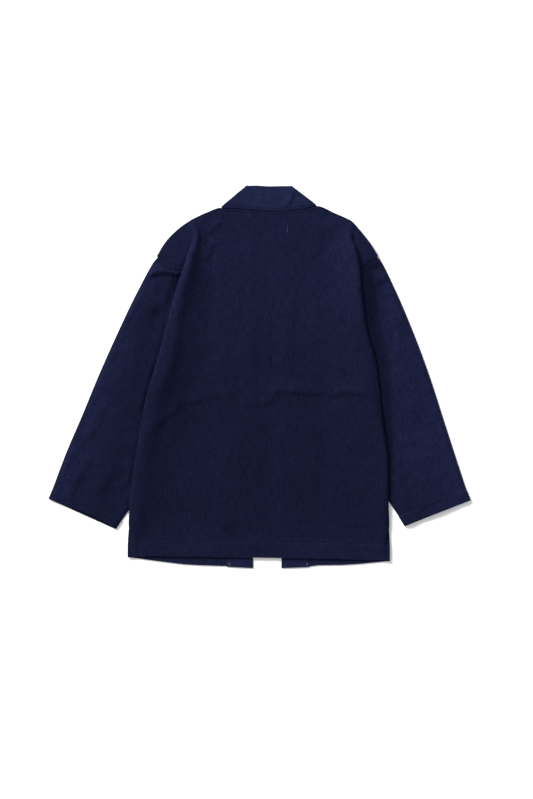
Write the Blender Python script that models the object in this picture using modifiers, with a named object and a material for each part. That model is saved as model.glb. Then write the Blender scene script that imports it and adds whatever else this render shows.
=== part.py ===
"""A plain indigo happi coat, laid out face down with its back showing.

The coat lies on a surface at z = 0, its neck towards +Y and its back up. The two fronts and the
front lengths of the neck band lie on the surface. The sleeves are turned down beside the body, with
their inner part under it, and the back's sides roll over them in two long raised folds.
All sizes below are millimetres; the meshes are made in metres.
"""

import bmesh
import bpy
import numpy as np

MM = 0.001

# Cloth
CLOTH = 1.0  # one layer of slub cotton
DOUBLE_CLOTH = 2.0  # a turned-up hem, or the doubled neck band
SEAM_GAP = 0.3  # between the pieces on either side of a seam
HEM_DEPTH = 33.0  # body hem, edge to stitching

# Levels, as the middle of a layer above the surface
FLOOR_Z = CLOTH / 2  # a front where it lies on the surface
BACK_Z = FLOOR_Z + CLOTH + SEAM_GAP  # the back where it lies on a front
SLEEVE_EDGE = 2.6  # height of a sleeve's flattened tube at its folds
FRONT_OVER_SLEEVE = SLEEVE_EDGE + CLOTH + SEAM_GAP  # top of a front that lies on a sleeve
NECK_BAND_Z = 4.6  # the band where it lies over the back's neck edge

INDIGO = (0.012, 0.014, 0.042, 1.0)

# The back's sides, from the shoulder to the hem, one level of the panel a row. row_y is the level
# at the edge; edge_x the outermost line of the rolled fold; seam_x and seam_y the end of that row,
# on the armhole or side seam; under_z, edge_z and crest_z the middle of the cloth under the fold, at
# its edge and on top of it; crest_in and foot_in how far in from the edge its crest and the foot of
# its slope are; foot_y the level there; roll 1 where the edge rolls under and 0 where it lies flat.
SIDE_COLUMNS = (
    "row_y", "edge_x", "seam_x", "seam_y", "under_z", "edge_z", "crest_in", "crest_z", "foot_in", "foot_y", "roll",
)
LEFT_SIDE = (
    (299, -141, -209, 243, 4.8, 5.8, 7, 7.6, 26, 299, 1),
    (270, -149, -196, 231, 4.8, 6.2, 9, 9.4, 42, 270, 1),
    (245, -157, -180, 226, 4.8, 6.4, 12, 10.8, 54, 245, 1),
    (222, -164, -163, 224, 4.8, 6.6, 15, 11.8, 64, 222, 1),
    (172, -180, -168, 172, 4.8, 6.8, 20, 12.6, 84, 172, 1),
    (104, -198, -180, 104, 4.8, 6.8, 22, 12.8, 92, 104, 1),
    (38, -215, -187, 38, 4.8, 6.8, 23, 12.4, 94, 38, 1),
    (-12, -229, -200, -12, 4.8, 6.8, 23, 11.8, 92, -12, 1),
    (-60, -240, -217, -60, 4.8, 6.8, 22, 11.0, 94, -60, 1),
    (-122, -253, -235, -122, 4.8, 6.7, 21, 10.2, 96, -122, 1),
    (-190, -265, -252, -190, 4.8, 6.4, 19, 9.0, 92, -190, 1),
    (-262, -274.4, -269, -262, 4.6, 5.8, 17, 7.6, 84, -262, 1),
    (-312, -277.2, -276, -312, 3.2, 4.4, 16, 5.8, 68, -311, 1),
    (-349.5, -279.2, -279, -349.5, 3.0, 3.1, 15, 4.2, 52, -346.5, 0),
    (-355.5, -279.4, -279.2, -355.5, 3.4, 3.4, 15, 4.2, 52, -352.5, 0),
    (-382.6, -279.6, -279.4, -382.6, 3.4, 3.4, 14, 3.7, 50, -379.6, 0),
)
RIGHT_SIDE = (
    (299, 200, 247, 252, 4.8, 6.0, 5, 7.4, 28, 299, 1),
    (270, 205, 238, 247, 4.8, 7.4, 6, 10.2, 44, 270, 1),
    (245, 210, 225, 238, 4.8, 8.6, 8, 12.8, 56, 245, 1),
    (222, 213, 211, 229, 4.8, 9.4, 9, 14.6, 68, 222, 1),
    (172, 217, 208, 172, 4.8, 10.0, 10, 16.4, 84, 172, 1),
    (104, 226, 213, 104, 4.8, 10.2, 11, 16.8, 92, 104, 1),
    (38, 244.5, 218, 38, 4.8, 9.8, 12, 16.0, 96, 38, 1),
    (-12, 254, 228, -12, 4.8, 9.0, 12, 14.4, 92, -12, 1),
    (-60, 259, 238, -60, 4.8, 8.2, 12, 12.8, 86, -60, 1),
    (-122, 265, 249, -122, 4.8, 7.6, 11, 11.4, 80, -122, 1),
    (-190, 272.5, 261, -190, 4.8, 7.0, 11, 9.8, 76, -190, 1),
    (-262, 272.8, 268, -262, 4.6, 6.2, 12, 7.8, 76, -262, 1),
    (-314, 274.6, 273.5, -314, 3.2, 4.5, 13, 5.8, 84, -313, 1),
    (-357.5, 275.8, 275.6, -357.5, 3.0, 3.1, 13, 4.2, 100, -352, 0),
    (-363.5, 275.9, 275.7, -363.5, 3.4, 3.4, 13, 4.1, 104, -358, 0),
    (-390.8, 276, 275.8, -390.8, 3.4, 3.4, 14, 3.7, 110, -385.5, 0),
)
HEM_ROWS = 3  # the last of those rows: just above the hem's stitching, just below it, and the edge
# Mesh rows between one level and the next, the first being the shoulder's
DOWN_STEPS = (3, 2, 2, 2, 2, 3, 3, 2, 5, 2, 2, 2, 2, 2, 1, 2)
# Mesh columns between the points of a level: seam, lip, foot, edge, crest, foot of the slope, five
# points of the neck, and the same again
ACROSS_STEPS = (2, 2, 2, 4, 5, 3, 3, 3, 3, 3, 3, 5, 4, 2, 2, 2)

# The back's top edge: the armhole notch, then along the shoulder to the neck
SHOULDER_COLUMNS = ("x", "y", "z")
LEFT_SHOULDER = (
    (-217.5, 255.0, 4.8), (-196.0, 289.0, 3.4), (-165.0, 318.5, 2.4), (-152.0, 327.5, 2.1), (-143.0, 333.0, 2.0),
    (-112.0, 347.5, BACK_Z),
)
RIGHT_SHOULDER = (
    (251.0, 255.2, 4.8), (231.5, 286.0, 3.4), (209.0, 314.0, 2.4), (201.0, 323.5, 2.1), (194.0, 330.0, 2.0),
    (160.0, 346.0, BACK_Z),
)
# The seam between the neck band and the back, and the band's free edge above the same points
NECK_COLUMNS = ("x", "y")
NECK_SEAM = ((-80.0, 357.7), (-40.0, 356.0), (24.0, 350.0), (74.0, 353.6), (118.9, 361.8))
NECK_FREE = ((-24.9, 403.9), (-8.0, 404.4), (22.0, 402.8), (46.0, 403.4), (64.9, 403.3))
NECK_STEPS = (3, 3, 3, 3)
NECK_LAP = 5.0  # how far the band lies over the back's neck edge
NECK_EASE = 40.0  # how far down the back takes to come down from the neck
NECK_FREE_RISE = 1.2  # the free edge lifts a little

# Where the band's front lengths end, at the hem
BAND_END_COLUMNS = ("seam_x", "seam_y", "free_x", "free_y")
LEFT_BAND_END = (-68.6, -403.0, -13.7, -405.6)
RIGHT_BAND_END = (105.9, -403.6, 46.1, -405.6)
BAND_LENGTH_STEPS = 24
BAND_POINTS = 5  # across the band
BAND_SLOPE = 26.0  # how far from the band the back comes down to the fronts

# Each front's side, from the neck down: along the shoulder to the armhole notch, down the armhole,
# round the underarm and down the side seam
FRONT_COLUMNS = ("y", "side_x")
LEFT_FRONT_SIDE = (
    (356, -88), (331, -145), (305, -178.5), (281, -200.5), (256, -216), (246, -212), (236, -200), (222, -180),
    (172, -171), (104, -180), (62, -183), (46, -172), (14, -174), (-6, -186), (-36, -214), (-60, -223),
    (-122, -241), (-190, -257), (-262, -269), (-312, -273.5), (-340, -276),
)
RIGHT_FRONT_SIDE = (
    (357, 136), (331, 190.5), (305, 215.5), (281, 234), (256, 249.5), (251, 246), (243, 234), (230, 217),
    (172, 208), (104, 213), (62, 213), (46, 201), (14, 203), (-6, 215), (-36, 238), (-60, 244),
    (-122, 255), (-190, 265), (-262, 269), (-312, 271.5), (-346, 273.5),
)
FRONT_DOWN_STEPS = (2, 2, 2, 2, 1, 1, 1, 2, 2, 2, 2, 3, 2, 2, 1, 3, 3, 3, 2, 1)
FRONT_ACROSS = 12  # mesh columns, closer together towards the side
FRONT_HEM_COLUMNS = ("x", "y")
LEFT_FRONT_HEM = ((-278.5, -382.0), (-232, -388.5), (-164, -397.2), (-130, -399.3), (-70, -401.2))
RIGHT_FRONT_HEM = ((275, -390.4), (209, -396.8), (175, -398.9), (124, -399.4), (107, -401.8))
NOTCH_Y = 256.0  # the top of the armhole
UNDERARM_Y = 46.0  # above it the sleeve lies on the front, and below it the front lies on the sleeve
UNDERARM_TURN = 46.0  # the stretch of the front's side that climbs onto the sleeve
FRONT_SLOPE = 28.0  # how far in from the sleeve a front comes down to the surface

# Sleeves, one ring for each row from the armhole to the cuff. The outer point is the fold along
# the top of the arm and the inner point the underarm fold; bow moves a ring towards the body, most
# of all a third of the way in, and swell is its height midway, where it lies clear of the body.
RING_COLUMNS = ("outer_x", "outer_y", "inner_x", "inner_y", "bow_x", "bow_y", "swell")
LEFT_RINGS = (
    (-207, 260, -176, 42, 34, 36, 2.6),
    (-222, 246, -180, 18, 26, 22, 2.8),
    (-263, 172, -184, -25, 12, 8, 3.8),
    (-303, 88, -191, -72, 3, 2, 4.8),
    (-340, 5, -204, -126, 0, 0, 5.0),
    (-376, -82, -223, -185, 0, 0, 5.0),
    (-411, -164, -253, -245, 0, 0, 4.8),
    (-437.6, -235, -291, -303, 0, 0, 4.4),
    (-439.0, -238.5, -293, -306, 0, 0, 4.6),
    (-447.3, -258.6, -304.3, -323.0, 0, 0, 4.6),
)
RIGHT_RINGS = (
    (241, 262, 206, 38, -26, 34, 2.6),
    (256, 246, 209, 12, -20, 21, 2.8),
    (289, 180, 212, -32, -9, 8, 3.8),
    (327, 90, 216, -78, -2, 2, 4.8),
    (358, 7, 224, -130, 0, 0, 5.0),
    (387.5, -84, 238, -186, 0, 0, 5.0),
    (413, -163, 260, -240, 0, 0, 4.8),
    (437.6, -237.5, 294, -295, 0, 0, 4.4),
    (439.0, -241, 296, -299, 0, 0, 4.6),
    (447.3, -261.4, 307.1, -317.0, 0, 0, 4.6),
)
RING_STEPS = (2, 3, 3, 3, 3, 3, 3, 1, 2)
RING_POINTS = 13  # across one wall of the sleeve
CUFF_RINGS = 2  # the last of those rings: below the cuff's stitching, and the edge
CUFF_EDGE = 4.5  # height of the sleeve at its folds where the cuff is doubled
SLEEVE_LIFT = CLOTH + SEAM_GAP + 0.05  # the sleeve's underside where it lies on a front's armhole
LIFT_FROM, LIFT_TO = 4.0, 24.0  # how far from the armhole the sleeve comes down to the surface
SWELL_FROM = 34.0  # how far out from the body the sleeve has swollen fully

# Storage creases across the back, each a low ridge between two points
CREASE_COLUMNS = ("x0", "y0", "x1", "y1", "height", "half_width")
BACK_CREASES = (
    (-224, -112, -150, -46, 1.4, 8),
    (-150, -46, -80, -38, 1.6, 9),
    (6, -54, 30, -28, 1.0, 8),
    (30, -30, 142, -30, 1.5, 9),
    (160, -42, 226, -34, 1.4, 9),
    (150, 156, 206, 92, 1.2, 9),
    (-104, 300, -112, 242, 0.9, 8),
)


def column(table, names, name):
    """One named column of a table, as an array."""
    return np.array([row[names.index(name)] for row in table], float)


def ease(t):
    """0 to 1 with level ends."""
    t = np.clip(t, 0, 1)
    return t * t * (3 - 2 * t)


def numbers(steps):
    """Reading places that cut each interval between points into its own number of steps."""
    places = [i + k / n for i, n in enumerate(steps) for k in range(n)]
    return np.array(places + [len(steps)])


def smooth(points, at):
    """Smooth curve through points numbered 0, 1, 2 and so on, read at the numbers in at.

    Its slope is level at every high and low, so that it never passes them.
    """
    points = np.asarray(points, float)
    step = np.diff(points, axis=0)
    before, after = step[:-1], step[1:]
    same_way = before * after > 0
    middle = np.where(same_way, 2 * before * after / np.where(same_way, before + after, 1), 0)
    slope = np.concatenate([step[:1], middle, step[-1:]])
    start = np.clip(np.floor(at).astype(int), 0, len(points) - 2)
    t = (np.asarray(at) - start).reshape((-1,) + (1,) * (points.ndim - 1))
    rise = points[start] + step[start] * t * t * (3 - 2 * t)
    return rise + slope[start] * t * (1 - t) ** 2 - slope[start + 1] * t * t * (1 - t)


def read_at(table, level):
    """Second column of a table at a value of its first, along straight lines."""
    points = sorted(table)
    return np.interp(level, [p[0] for p in points], [p[1] for p in points])


def distance_to(line, x, y):
    """Distance in plan from points to a line of points."""
    best = np.full(np.shape(x), np.inf)
    for (x0, y0), (x1, y1) in zip(line[:-1], line[1:]):
        dx, dy = x1 - x0, y1 - y0
        t = np.clip(((x - x0) * dx + (y - y0) * dy) / (dx * dx + dy * dy), 0, 1)
        best = np.minimum(best, np.hypot(x - x0 - t * dx, y - y0 - t * dy))
    return best


def cloth_object(name, rows, doubled, offset=0, closed=False):
    """A wall of cloth through rows of points, given its thickness by Solidify.

    doubled holds, for each point, 0 where the cloth is single and 1 where it is doubled. offset is
    0 where the points are the middle of the wall, and -1 where they are its outside.
    """
    rows = np.asarray(rows) * MM
    count, width = rows.shape[:2]
    net = bmesh.new()
    points = [[net.verts.new(p) for p in row] for row in rows]
    for i in range(count - 1):
        for j in range(width if closed else width - 1):
            k = (j + 1) % width
            net.faces.new((points[i][j], points[i + 1][j], points[i + 1][k], points[i][k]))
    mesh = bpy.data.meshes.new(name)
    net.to_mesh(mesh)
    net.free()
    mesh.shade_smooth()
    mesh.materials.append(indigo)
    obj = bpy.data.objects.new(name, mesh)
    coat.objects.link(obj)
    group = obj.vertex_groups.new(name="doubled")
    for index, weight in enumerate(np.ravel(doubled)):
        group.add([index], float(weight), "REPLACE")
    wall = obj.modifiers.new("cloth", "SOLIDIFY")
    wall.thickness = DOUBLE_CLOTH * MM
    wall.thickness_vertex_group = CLOTH / DOUBLE_CLOTH
    wall.vertex_group = group.name
    wall.offset = offset


def side_points(table, inward):
    """Six control points for each level of one side of the back, from its seam inwards."""
    value = {name: column(table, SIDE_COLUMNS, name) for name in SIDE_COLUMNS}
    edge, roll, y = value["edge_x"], value["roll"], value["row_y"]
    seam_x, seam_y, under = value["seam_x"], value["seam_y"], value["under_z"]
    # Where the edge rolls, the cloth's outer face reaches it; where it lies flat, the seam does
    lip_x = edge + inward * (3.0 * roll + 4.0 * (1 - roll))
    fold_x = edge + inward * (CLOTH / 2 * roll + 7.0 * (1 - roll))
    points = (
        (seam_x, seam_y, under),
        ((seam_x + lip_x) / 2, (seam_y + y) / 2, under),
        (lip_x, y, under + 0.2 * roll),
        (fold_x, y, value["edge_z"]),
        (edge + inward * value["crest_in"], (y + value["foot_y"]) / 2, value["crest_z"]),
        (edge + inward * value["foot_in"], value["foot_y"], np.full(len(y), BACK_Z)),
    )
    return np.stack([np.stack(p, axis=1) for p in points], axis=1)


def lift_over_band(x, y):
    """How far the neck band raises the back that lies on it."""
    away = np.full(np.shape(x), np.inf)
    for end, seam, free in (
        (LEFT_BAND_END, NECK_SEAM[0], NECK_FREE[0]),
        (RIGHT_BAND_END, NECK_SEAM[-1], NECK_FREE[-1]),
    ):
        low = ((end[0] + end[2]) / 2, (end[1] + end[3]) / 2)
        high = ((seam[0] + free[0]) / 2, (seam[1] + free[1]) / 2)
        away = np.minimum(away, distance_to((low, high), x, y))
    half_band = abs(RIGHT_BAND_END[2] - RIGHT_BAND_END[0]) / 2
    return (DOUBLE_CLOTH - CLOTH) * ease(1 - (away - half_band) / BAND_SLOPE)


def crease_height(x, y):
    """How far the storage creases raise the back."""
    total = np.zeros(np.shape(x))
    for x0, y0, x1, y1, height, half_width in BACK_CREASES:
        away = distance_to(((x0, y0), (x1, y1)), x, y)
        total = np.maximum(total, height * np.exp(-((away / half_width) ** 2)))
    return total


def make_back():
    """The back, cut in one piece from the neck to the hem, with its turned-up hem."""
    left, right = side_points(LEFT_SIDE, 1), side_points(RIGHT_SIDE, -1)
    neck_x = [x for x, _ in NECK_SEAM]
    rows = [list(LEFT_SHOULDER) + [(x, y, BACK_Z) for x, y in NECK_SEAM] + list(RIGHT_SHOULDER[::-1])]
    for row_left, row_right in zip(left, right):
        foot_left, foot_right = row_left[-1], row_right[-1]
        middle_y = np.interp(neck_x, (foot_left[0], foot_right[0]), (foot_left[1], foot_right[1]))
        middle = [(x, y, BACK_Z) for x, y in zip(neck_x, middle_y)]
        rows.append(np.concatenate([row_left, middle, row_right[::-1]]))
    across, down = numbers(ACROSS_STEPS), numbers(DOWN_STEPS)
    rows = np.array([smooth(row, across) for row in rows])
    # The top edge follows the neck band's seam, a little way under the band
    seam = smooth(NECK_SEAM, numbers(NECK_STEPS))
    start = int(np.flatnonzero(across == len(LEFT_SHOULDER))[0])
    from_end = np.minimum(numbers(NECK_STEPS), len(NECK_STEPS) - numbers(NECK_STEPS))
    lap = (NECK_LAP + SEAM_GAP) * ease(from_end) - 2 * SEAM_GAP
    rows[0, start : start + len(seam), 0] = seam[:, 0]
    rows[0, start : start + len(seam), 1] = seam[:, 1] + lap
    rows = smooth(rows, down)
    x, y = rows[..., 0], rows[..., 1]
    # The hem is doubled and lies on the fronts' doubled hems; above it the band raises the back
    last = len(DOWN_STEPS)
    doubled = np.repeat(ease(down - (last - HEM_ROWS + 1))[:, None], len(across), axis=1)
    hem_z = DOUBLE_CLOTH + SEAM_GAP + DOUBLE_CLOTH / 2
    on_hem = ease(down - (last - HEM_ROWS))[:, None]
    hem_lift = np.maximum(hem_z - rows[..., 2], 0) * on_hem
    on_neck = ease((y - (NECK_SEAM[2][1] - NECK_EASE)) / NECK_EASE) * ease((NECK_SEAM[-1][0] + 40 - np.abs(x)) / 40)
    band_lift = np.maximum(lift_over_band(x, y), (DOUBLE_CLOTH - CLOTH) * on_neck)
    rows[..., 2] += np.maximum(hem_lift, band_lift * (1 - on_hem)) + crease_height(x, y) * (1 - on_hem)
    cloth_object("back_panel", rows, doubled)


def make_neck_band():
    """The doubled band: up one front, folded over at the neck, across the back neck and down."""
    floor_z = DOUBLE_CLOTH / 2
    radius = (NECK_BAND_Z - floor_z) / 2
    t = np.linspace(0, 1, BAND_POINTS)[:, None]

    def section(seam, free, z_seam, z_free):
        """Points across the band, from its seam to its free edge."""
        plan = seam + (np.array(free) - seam) * t
        return np.concatenate([plan, z_seam + (z_free - z_seam) * t], axis=1)

    def front_length(end, fold):
        """The length on the surface, from the hem up to the fold."""
        seam_end, free_end = np.array(end).reshape(2, 2)
        for s in np.arange(BAND_LENGTH_STEPS) / BAND_LENGTH_STEPS:
            yield section(seam_end + (fold[0] - seam_end) * s, free_end + (fold[1] - free_end) * s, floor_z, floor_z)

    def turn(fold, side):
        """The half turn where the band folds over at the neck, from below to above."""
        dx, dy = fold[1] - fold[0]
        outward = np.array([dy, -dx]) * side * np.sign(dy) / np.hypot(dx, dy)
        for angle in np.radians(np.arange(-90, 91, 30)):
            plan = fold + outward * radius * np.cos(angle)
            height = floor_z + radius * (1 + np.sin(angle))
            yield section(plan[0], plan[1], height, height + NECK_FREE_RISE * (1 + np.sin(angle)) / 2)

    fold_left = np.array([NECK_SEAM[0], NECK_FREE[0]])
    fold_right = np.array([NECK_SEAM[-1], NECK_FREE[-1]])
    up_left = list(front_length(LEFT_BAND_END, fold_left)) + list(turn(fold_left, -1))
    up_right = list(front_length(RIGHT_BAND_END, fold_right)) + list(turn(fold_right, 1))
    at = numbers(NECK_STEPS)[1:-1]
    behind = [
        section(seam, free, NECK_BAND_Z, NECK_BAND_Z + NECK_FREE_RISE)
        for seam, free in zip(smooth(NECK_SEAM, at), smooth(NECK_FREE, at))
    ]
    sections = up_left + behind + up_right[::-1]
    cloth_object("neck_band", sections, np.ones((len(sections), BAND_POINTS)))


def bowed(t):
    """Share of a ring's bow across the sleeve: none at its folds, all of it a third of the way in."""
    return 6.75 * t * (1 - t) ** 2


def sleeve_edge(rings):
    """The sleeve's edge under the body: its armhole end, then its underarm fold, from the top."""
    value = {name: column(rings, RING_COLUMNS, name) for name in RING_COLUMNS}
    t = np.linspace(0, 1, 9)
    x = value["outer_x"][0] + (value["inner_x"][0] - value["outer_x"][0]) * t + value["bow_x"][0] * bowed(t)
    y = value["outer_y"][0] + (value["inner_y"][0] - value["outer_y"][0]) * t + value["bow_y"][0] * bowed(t)
    return list(zip(x, y)) + list(zip(value["inner_x"][1:], value["inner_y"][1:]))


def make_front(name, side, hem_edge, rings, band_end, neck_point, inward):
    """One front: a panel on the surface, rising over the sleeve at its side, with its hem."""
    y, side_x = smooth(side, numbers(FRONT_DOWN_STEPS)).T
    seam = ((band_end[1], band_end[0]), (neck_point[1], neck_point[0]))
    t = np.linspace(0, 1, FRONT_ACROSS + 1) ** 1.7
    seam_x = read_at(seam, y) - inward * 2 * SEAM_GAP
    x = side_x[:, None] + (seam_x - side_x)[:, None] * t
    y = np.repeat(y[:, None], len(t), axis=1)
    # The hem's rows follow its edge: just above the stitching, just below it, and the edge
    for up in (HEM_DEPTH + 3, HEM_DEPTH - 3, 0):
        corner_x = side_x[-1] + (hem_edge[0][0] - side_x[-1]) * (1 - up / (HEM_DEPTH + 6))
        seam_x = read_at(seam, band_end[1] + up) - inward * 2 * SEAM_GAP
        hem_x = corner_x + (seam_x - corner_x) * t
        x = np.vstack([x, hem_x])
        y = np.vstack([y, read_at(hem_edge, hem_x) + up])
    doubled = np.zeros(x.shape)
    doubled[-2:] = 1
    # Below the underarm the front lies on the sleeve, as far in as the sleeve's underarm fold
    fold = [(fold_y, fold_x) for fold_x, fold_y in sleeve_edge(rings) if fold_y <= UNDERARM_Y]
    past_fold = (x - read_at(fold, y)) * inward
    rise = (FRONT_OVER_SLEEVE - CLOTH) * ease((UNDERARM_Y - y) / UNDERARM_TURN)
    rise = rise * ease(1 - (past_fold - 2) / FRONT_SLOPE)
    z = FLOOR_Z + rise * (1 - doubled) + (DOUBLE_CLOTH - CLOTH) / 2 * doubled
    rows = np.stack([x, y, z], axis=2)
    cloth_object(name, rows[:, ::inward], doubled)


def make_sleeve(name, rings, front_side, inward):
    """One sleeve: a flattened tube, doubled at the cuff, its armhole end inside the body."""
    at = numbers(RING_STEPS)
    value = {name: smooth(column(rings, RING_COLUMNS, name), at) for name in RING_COLUMNS}
    cuff = ease(at - (len(rings) - 1 - CUFF_RINGS))
    across = (1 - np.cos(np.linspace(0, np.pi, RING_POINTS))) / 2
    outer = np.stack([value["outer_x"], value["outer_y"]], axis=1)[:, None]
    inner = np.stack([value["inner_x"], value["inner_y"]], axis=1)[:, None]
    bow = np.stack([value["bow_x"], value["bow_y"]], axis=1)[:, None]
    plan = outer + (inner - outer) * across[:, None] + bow * bowed(across)[:, None]
    x, y = plan[..., 0], plan[..., 1]
    # Each ring is a flat loop with round ends. It swells where it lies clear of the body.
    rim = (SLEEVE_EDGE + (CUFF_EDGE - SLEEVE_EDGE) * cuff)[:, None]
    width = np.linalg.norm(inner - outer, axis=2)
    fold = np.clip(width * np.minimum(across, 1 - across) / (rim / 2), 0, 1)
    rounding = np.sqrt(1 - (1 - fold) ** 2)
    clear = ease((read_at(front_side, y) - x) * inward / SWELL_FROM)
    swell = np.maximum(value["swell"][:, None] - rim, 0) * np.sin(np.pi * across) ** 2 * clear
    armhole = [(side_x, side_y) for side_y, side_x in front_side if UNDERARM_Y <= side_y <= NOTCH_Y]
    on_front = ((x - read_at(front_side, y)) * inward > 0) & (y > UNDERARM_Y)
    outside = np.where(on_front, 0, distance_to(armhole, x, y))
    lift = SLEEVE_LIFT * ease(1 - (outside - LIFT_FROM) / (LIFT_TO - LIFT_FROM))
    middle = lift + rim / 2
    upper = np.stack([x, y, middle + (rim / 2 + swell) * rounding], axis=2)
    lower = np.stack([x, y, middle - rim / 2 * rounding], axis=2)
    loops = np.concatenate([upper, lower[:, -2:0:-1]], axis=1)
    doubled = np.repeat(cuff[:, None], loops.shape[1], axis=1)
    cloth_object(name, loops[:, ::inward], doubled, offset=-1, closed=True)


for old in list(bpy.data.objects):
    bpy.data.objects.remove(old)
coat = bpy.data.collections.new("happi_coat")
bpy.context.scene.collection.children.link(coat)
indigo = bpy.data.materials.new("indigo_cotton")
indigo.use_nodes = True
indigo.diffuse_color = INDIGO
shader = indigo.node_tree.nodes["Principled BSDF"]
shader.inputs["Base Color"].default_value = INDIGO
shader.inputs["Roughness"].default_value = 0.9
shader.inputs["Metallic"].default_value = 0.0

make_back()
make_front("front_left", LEFT_FRONT_SIDE, LEFT_FRONT_HEM, LEFT_RINGS, LEFT_BAND_END, NECK_SEAM[0], 1)
make_front("front_right", RIGHT_FRONT_SIDE, RIGHT_FRONT_HEM, RIGHT_RINGS, RIGHT_BAND_END, NECK_SEAM[-1], -1)
make_sleeve("sleeve_left", LEFT_RINGS, LEFT_FRONT_SIDE, 1)
make_sleeve("sleeve_right", RIGHT_RINGS, RIGHT_FRONT_SIDE, -1)
make_neck_band()
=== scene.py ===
import bmesh
import bpy
import numpy as np
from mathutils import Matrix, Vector
from mathutils.bvhtree import BVHTree


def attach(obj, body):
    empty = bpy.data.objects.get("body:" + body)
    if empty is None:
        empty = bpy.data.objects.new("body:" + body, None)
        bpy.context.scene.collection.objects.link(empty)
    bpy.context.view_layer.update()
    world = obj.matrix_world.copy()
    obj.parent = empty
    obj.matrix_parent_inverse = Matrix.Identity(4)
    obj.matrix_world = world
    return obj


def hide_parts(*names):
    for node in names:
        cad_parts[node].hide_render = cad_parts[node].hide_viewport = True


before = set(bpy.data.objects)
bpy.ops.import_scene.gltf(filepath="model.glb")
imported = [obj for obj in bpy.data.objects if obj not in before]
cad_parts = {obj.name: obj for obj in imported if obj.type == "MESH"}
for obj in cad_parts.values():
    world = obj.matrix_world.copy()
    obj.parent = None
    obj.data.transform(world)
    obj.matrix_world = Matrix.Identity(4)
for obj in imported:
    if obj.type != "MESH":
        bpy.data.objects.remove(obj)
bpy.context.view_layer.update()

# The table, the light and the camera. The coat lies on a white table and is looked at from straight
# above. One large soft lamp stands up and to the left of it, and pale walls light it from all round.
MM = 0.001
VIEW_CENTRE = (14.6, -48.3)
VIEW_HEIGHT = 1694.0
LENS = 50.0
SENSOR = 36.0
LAMP_STRENGTH = 8.0
LAMP_SPREAD = 20.0
LAMP_ELEVATION = 22.0
LAMP_AZIMUTH = 135.0  # from +X, towards +Y
WALL_LIGHT = 0.68
TABLE_SIZE = 12.0
TABLE_WHITE = (0.9, 0.9, 0.915, 1.0)

scene = bpy.context.scene
scene.view_settings.view_transform = "Standard"
camera = bpy.data.objects.new("camera", bpy.data.cameras.new("camera"))
camera.data.lens = LENS
camera.data.sensor_width = SENSOR
camera.location = (VIEW_CENTRE[0] * MM, VIEW_CENTRE[1] * MM, VIEW_HEIGHT * MM * LENS / SENSOR)
scene.collection.objects.link(camera)
scene.camera = camera

lamp = bpy.data.objects.new("lamp", bpy.data.lights.new("lamp", "SUN"))
lamp.data.energy = LAMP_STRENGTH
lamp.data.angle = np.radians(LAMP_SPREAD)
lamp_up = np.radians(LAMP_ELEVATION)
lamp_round = np.radians(LAMP_AZIMUTH)
lamp_out = np.cos(lamp_up)
lamp_from = Vector((lamp_out * np.cos(lamp_round), lamp_out * np.sin(lamp_round), np.sin(lamp_up)))
lamp.rotation_euler = lamp_from.to_track_quat("Z", "Y").to_euler()
scene.collection.objects.link(lamp)

walls = bpy.data.worlds.new("pale_walls")
walls.use_nodes = True
wall_light = walls.node_tree.nodes["Background"].inputs
wall_light["Color"].default_value = (1.0, 1.0, 1.0, 1.0)
wall_light["Strength"].default_value = WALL_LIGHT
scene.world = walls

table_mesh = bpy.data.meshes.new("table")
half_table = TABLE_SIZE / 2
table_corners = [(-half_table, -half_table, 0), (half_table, -half_table, 0), (half_table, half_table, 0)]
table_corners.append((-half_table, half_table, 0))
table_mesh.from_pydata(table_corners, [], [(0, 1, 2, 3)])
table = bpy.data.objects.new("table", table_mesh)
table_paint = bpy.data.materials.new("table_white")
table_paint.use_nodes = True
table_shader = table_paint.node_tree.nodes["Principled BSDF"].inputs
table_shader["Base Color"].default_value = TABLE_WHITE
table_shader["Roughness"].default_value = 0.8
table_shader["Specular IOR Level"].default_value = 0.0
table_mesh.materials.append(table_paint)
scene.collection.objects.link(table)

# The back: one panel of dark indigo slub cotton from the neck to a turned-up hem. It lies on the
# fronts, and its sides roll over the sleeves in two long soft folds, with storage creases across it.
CLOTH = 1.0
DOUBLE_CLOTH = 2.0
SEAM_GAP = 0.3
HEM_DEPTH = 33.0
FLOOR_Z = CLOTH / 2
BACK_Z = FLOOR_Z + CLOTH + SEAM_GAP
INDIGO_DEEP = (0.0033, 0.0039, 0.0146, 1.0)
INDIGO_WORN = (0.0096, 0.0113, 0.0368, 1.0)
# How a piece's colour is made brighter or darker, in steps: a way over its grain (across, along), from
# where to where on it in metres, and the colour's brightness at either end. On the back the first step is
# painted shade, darker towards the hem, and the second makes the strip below the hem's stitching brighter
BACK_SHADE_AND_HEM_TONE = (((0.0, 1.0), -0.10, 0.29, 0.73, 0.93), ((0.0, 1.0), -0.360, -0.345, 1.14, 1.0))
FUZZ_TINT = (0.45, 0.52, 1.0, 1.0)
THIN_EDGE = 0.5  # a cut edge pressed thin where it is sewn down
SHARP_TURN = 1.1  # the cloth's surface turns a corner at its edges only

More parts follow.
